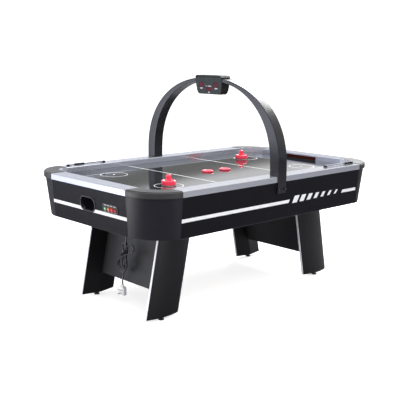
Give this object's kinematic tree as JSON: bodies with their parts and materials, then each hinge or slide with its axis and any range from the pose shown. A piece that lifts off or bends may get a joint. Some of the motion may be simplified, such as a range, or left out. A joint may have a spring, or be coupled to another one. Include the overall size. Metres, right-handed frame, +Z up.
{
  "type": "air hockey table",
  "caption": "Air hockey table: aluminium-railed rink on splayed legs, goal slots with puck returns, end control panel and an arch with a score unit.",
  "frame": {"origin": "on the floor, under the middle of the table", "axes": "+X along the table towards the end without controls, +Y across it to the far side, +Z up"},
  "size_m": [1.964, 1.225, 1.375],
  "materials": {
    "playfield_laminate": "gloss",
    "plain_wood": "matte",
    "black_laminate": "satin",
    "leg_black": "satin",
    "corner_black": "satin",
    "cap_grey": "satin",
    "rail_aluminium": "brushed",
    "black_plastic": "satin",
    "button_green": "gloss",
    "button_amber": "gloss",
    "button_red": "gloss",
    "button_maroon": "gloss",
    "white_vinyl": "satin",
    "arch_charcoal": "satin",
    "bright_steel": "polished",
    "smoked_red": "gloss",
    "led_red": "gloss",
    "circuit_green": "matte",
    "silver_edging": "satin",
    "dark_steel": "satin",
    "motor_alloy": "satin",
    "white_plastic": "satin",
    "red_plastic": "gloss",
    "felt": "matte",
    "cord_rubber": "matte"
  },
  "bodies": {
    "table": {"playfield": "playfield_laminate", "plenum_frame": "plain_wood", "plenum_floor": "plain_wood", "cabinet_floor": "plain_wood", "apron_near": "black_laminate", "apron_far": "black_laminate", "apron_left": "black_laminate", "apron_right": "black_laminate", "corner_panels": "corner_black", "corner_caps": "cap_grey", "corner_liners": "rail_aluminium", "rail_near": "rail_aluminium", "rail_far": "rail_aluminium", "rail_left": "rail_aluminium", "rail_right": "rail_aluminium", "goal_boxes": "black_plastic", "return_bezels": "black_plastic", "control_panel": "black_plastic", "stripes": "white_vinyl", "arch_near": "arch_charcoal", "arch_far": "arch_charcoal", "screws_and_bolts": "dark_steel", "scorer_front": "black_plastic", "scorer_back": "black_plastic", "display_windows": "smoked_red", "led_digits": "led_red", "scorer_board": "circuit_green", "leg_left_near": "leg_black", "leg_left_far": "leg_black", "leg_right_near": "leg_black", "leg_right_far": "leg_black", "leg_trims": "silver_edging", "leg_brackets": "dark_steel", "end_panels": "black_laminate", "blower_housing": "black_plastic", "blower_motor": "motor_alloy", "intake_grille": "black_plastic", "score_tracks": "bright_steel", "strain_relief": "cord_rubber", "cord_drop": "cord_rubber", "cord_hank": "cord_rubber", "cord_tail": "cord_rubber", "plug": "white_plastic"},
    "button_green_body": {"button_green": "button_green"},
    "button_amber_body": {"button_amber": "button_amber"},
    "button_red_body": {"button_red": "button_red"},
    "button_maroon_body": {"button_maroon": "button_maroon"},
    "foot_left_near_body": {"foot_left_near": "dark_steel"},
    "foot_left_far_body": {"foot_left_far": "dark_steel"},
    "foot_right_near_body": {"foot_right_near": "dark_steel"},
    "foot_right_far_body": {"foot_right_far": "dark_steel"},
    "impeller_body": {"impeller": "white_plastic"},
    "slider_near_body": {"slider_near": "black_plastic"},
    "slider_far_body": {"slider_far": "black_plastic"},
    "puck_a_body": {"puck_a": "red_plastic"},
    "puck_b_body": {"puck_b": "red_plastic"},
    "pusher_left_body": {"pusher_left": "red_plastic", "pusher_left_felt": "felt"},
    "pusher_right_body": {"pusher_right": "red_plastic", "pusher_right_felt": "felt"}
  },
  "joints": [
    {"name": "press_green", "type": "slide", "parent": "table", "child": "button_green_body", "axis": [0.9966, 0, 0.0827], "range_m": [0, 0.002], "stiffness_N_per_m": 400},
    {"name": "press_amber", "type": "slide", "parent": "table", "child": "button_amber_body", "axis": [0.9966, 0, 0.0827], "range_m": [0, 0.002], "stiffness_N_per_m": 400},
    {"name": "press_red", "type": "slide", "parent": "table", "child": "button_red_body", "axis": [0.9966, 0, 0.0827], "range_m": [0, 0.002], "stiffness_N_per_m": 400},
    {"name": "press_maroon", "type": "slide", "parent": "table", "child": "button_maroon_body", "axis": [0.9966, 0, 0.0827], "range_m": [0, 0.002], "stiffness_N_per_m": 400},
    {"name": "level_left_near", "type": "slide", "parent": "table", "child": "foot_left_near_body", "axis": [0, 0, 1], "range_m": [-0.012, 0.004]},
    {"name": "level_left_far", "type": "slide", "parent": "table", "child": "foot_left_far_body", "axis": [0, 0, 1], "range_m": [-0.012, 0.004]},
    {"name": "level_right_near", "type": "slide", "parent": "table", "child": "foot_right_near_body", "axis": [0, 0, 1], "range_m": [-0.012, 0.004]},
    {"name": "level_right_far", "type": "slide", "parent": "table", "child": "foot_right_far_body", "axis": [0, 0, 1], "range_m": [-0.012, 0.004]},
    {"name": "impeller_spin", "type": "hinge", "parent": "table", "child": "impeller_body", "pos_m": [0, 0, 0.6], "axis": [0, 0, 1], "continuous": true},
    {"name": "score_near", "type": "slide", "parent": "table", "child": "slider_near_body", "axis": [-1, 0, 0], "range_m": [0, 0.189]},
    {"name": "score_far", "type": "slide", "parent": "table", "child": "slider_far_body", "axis": [1, 0, 0], "range_m": [-0.038, 0.144]},
    {"name": "push_left", "type": "slide", "parent": "table", "child": "pusher_left_body", "axis": [1, 0, 0], "range_m": [-0.24, 0.52]},
    {"name": "push_right", "type": "slide", "parent": "table", "child": "pusher_right_body", "axis": [1, 0, 0], "range_m": [-0.46, 0.29]},
    {"name": "glide_a", "type": "slide", "parent": "table", "child": "puck_a_body", "axis": [1, 0, 0], "range_m": [-0.77, 0.02]},
    {"name": "glide_b", "type": "slide", "parent": "table", "child": "puck_b_body", "axis": [1, 0, 0], "range_m": [-0.02, 0.75]}
  ]
}
